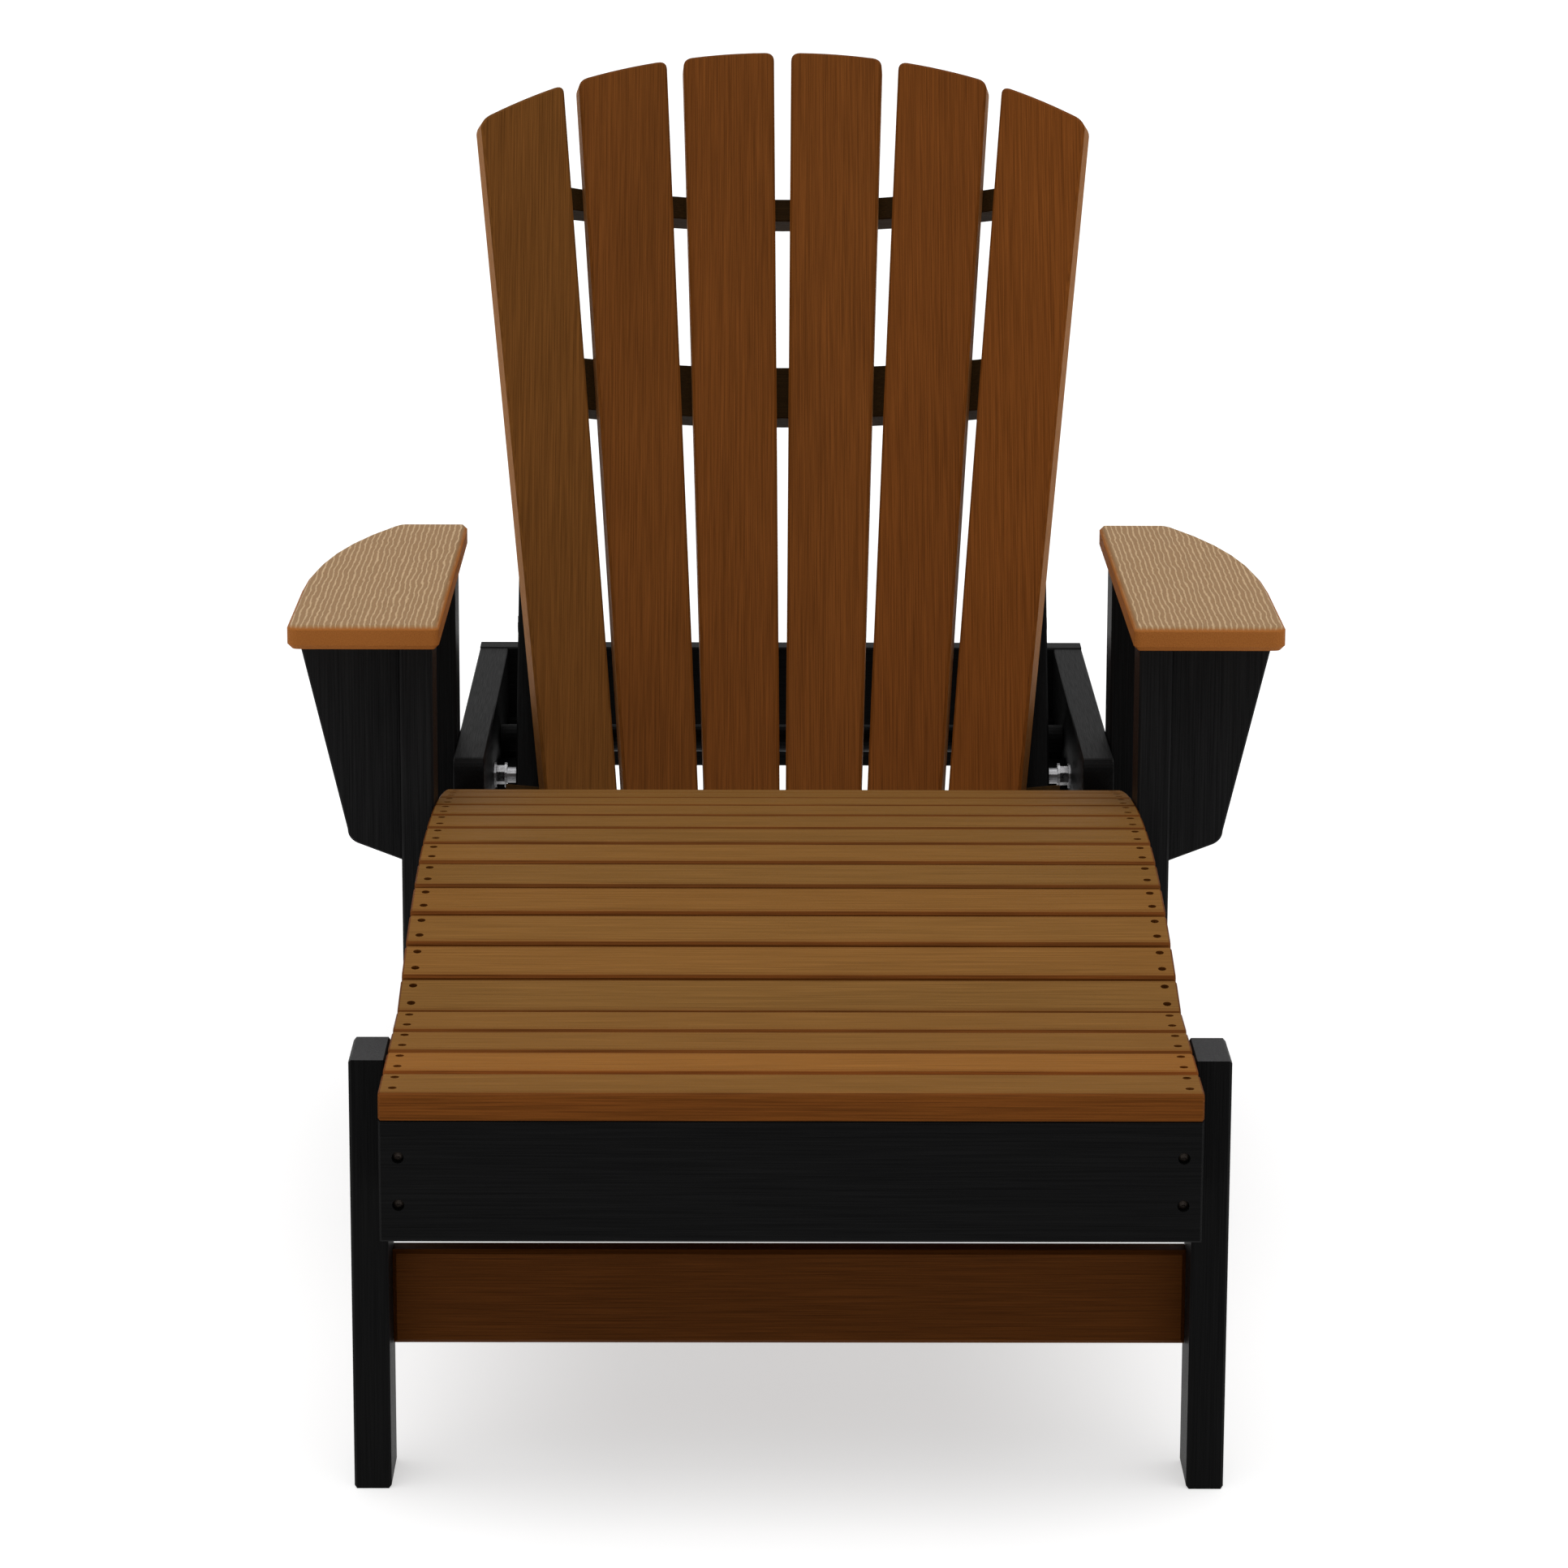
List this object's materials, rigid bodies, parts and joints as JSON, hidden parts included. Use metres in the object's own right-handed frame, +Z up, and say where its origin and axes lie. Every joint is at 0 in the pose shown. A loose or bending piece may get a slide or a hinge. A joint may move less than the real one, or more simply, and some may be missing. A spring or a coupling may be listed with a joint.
{
  "type": "adirondack chaise lounge",
  "caption": "Slatted reclining lounge chair in two-colour plastic lumber with flat arms, a curved fan back on pivot bolts and a prop that drops into notched racks.",
  "frame": {"origin": "on the floor, under the middle of the chair's bounding box at rest", "axes": "+Z up, -Y towards the foot end, +Y towards the back, +X to the right as seen from the foot end"},
  "size_m": [0.84, 1.5544, 0.9442],
  "materials": {
    "brown_lumber": "fine straight grain, satin",
    "arm_lumber": "coarse embossed grain, satin",
    "black_lumber": "fine grain, satin",
    "steel": "bright"
  },
  "bodies": {
    "frame": {"front_apron": "black_lumber", "rear_apron": "black_lumber", "front_stretcher": "brown_lumber", "seat_rear_rail": "black_lumber", "seat_slat_01": "brown_lumber", "seat_slat_02": "brown_lumber", "seat_slat_03": "brown_lumber", "seat_slat_04": "brown_lumber", "seat_slat_05": "brown_lumber", "seat_slat_06": "brown_lumber", "seat_slat_07": "brown_lumber", "seat_slat_08": "brown_lumber", "seat_slat_09": "brown_lumber", "seat_slat_10": "brown_lumber", "seat_slat_11": "brown_lumber", "seat_slat_12": "brown_lumber", "seat_slat_13": "brown_lumber", "seat_slat_14": "brown_lumber", "seat_slat_15": "brown_lumber", "seat_slat_16": "brown_lumber", "seat_slat_17": "brown_lumber", "seat_slat_18": "brown_lumber", "seat_slat_rear": "brown_lumber", "side_rail_l": "black_lumber", "side_rail_r": "black_lumber", "front_leg_l": "black_lumber", "front_leg_r": "black_lumber", "arm_post_l": "black_lumber", "arm_post_r": "black_lumber", "rear_leg_l": "black_lumber", "rear_leg_r": "black_lumber", "arm_bracket_l": "black_lumber", "arm_bracket_r": "black_lumber", "arm_l": "arm_lumber", "arm_r": "arm_lumber", "pivot_bolt_l": "steel", "pivot_bolt_r": "steel", "pivot_spacer_l": "steel", "pivot_spacer_r": "steel", "rack_l": "black_lumber", "rack_r": "black_lumber"},
    "back": {"back_slat_1": "brown_lumber", "back_slat_2": "brown_lumber", "back_slat_3": "brown_lumber", "back_slat_4": "brown_lumber", "back_slat_5": "brown_lumber", "back_slat_6": "brown_lumber", "back_rail_bottom": "brown_lumber", "back_rail_mid": "brown_lumber", "back_rail_top": "brown_lumber", "back_stile_l": "black_lumber", "back_stile_r": "black_lumber", "prop_pin_l": "steel", "prop_pin_r": "steel"},
    "prop": {"prop_bar": "black_lumber", "prop_leg_l": "black_lumber", "prop_leg_r": "black_lumber"}
  },
  "joints": [
    {"name": "back_recline", "type": "hinge", "parent": "frame", "child": "back", "pos_m": [0, 0.43483, 0.296], "axis": [-1, 0, 0], "range_deg": [-6, 40]},
    {"name": "prop_swing", "type": "hinge", "parent": "back", "child": "prop", "pos_m": [0, 0.50983, 0.4259], "axis": [-1, 0, 0], "range_deg": [-89, 14]}
  ],
  "couplings": [
    {"joint": "prop_swing", "follows": "back_recline", "ratio": -2.2074}
  ]
}
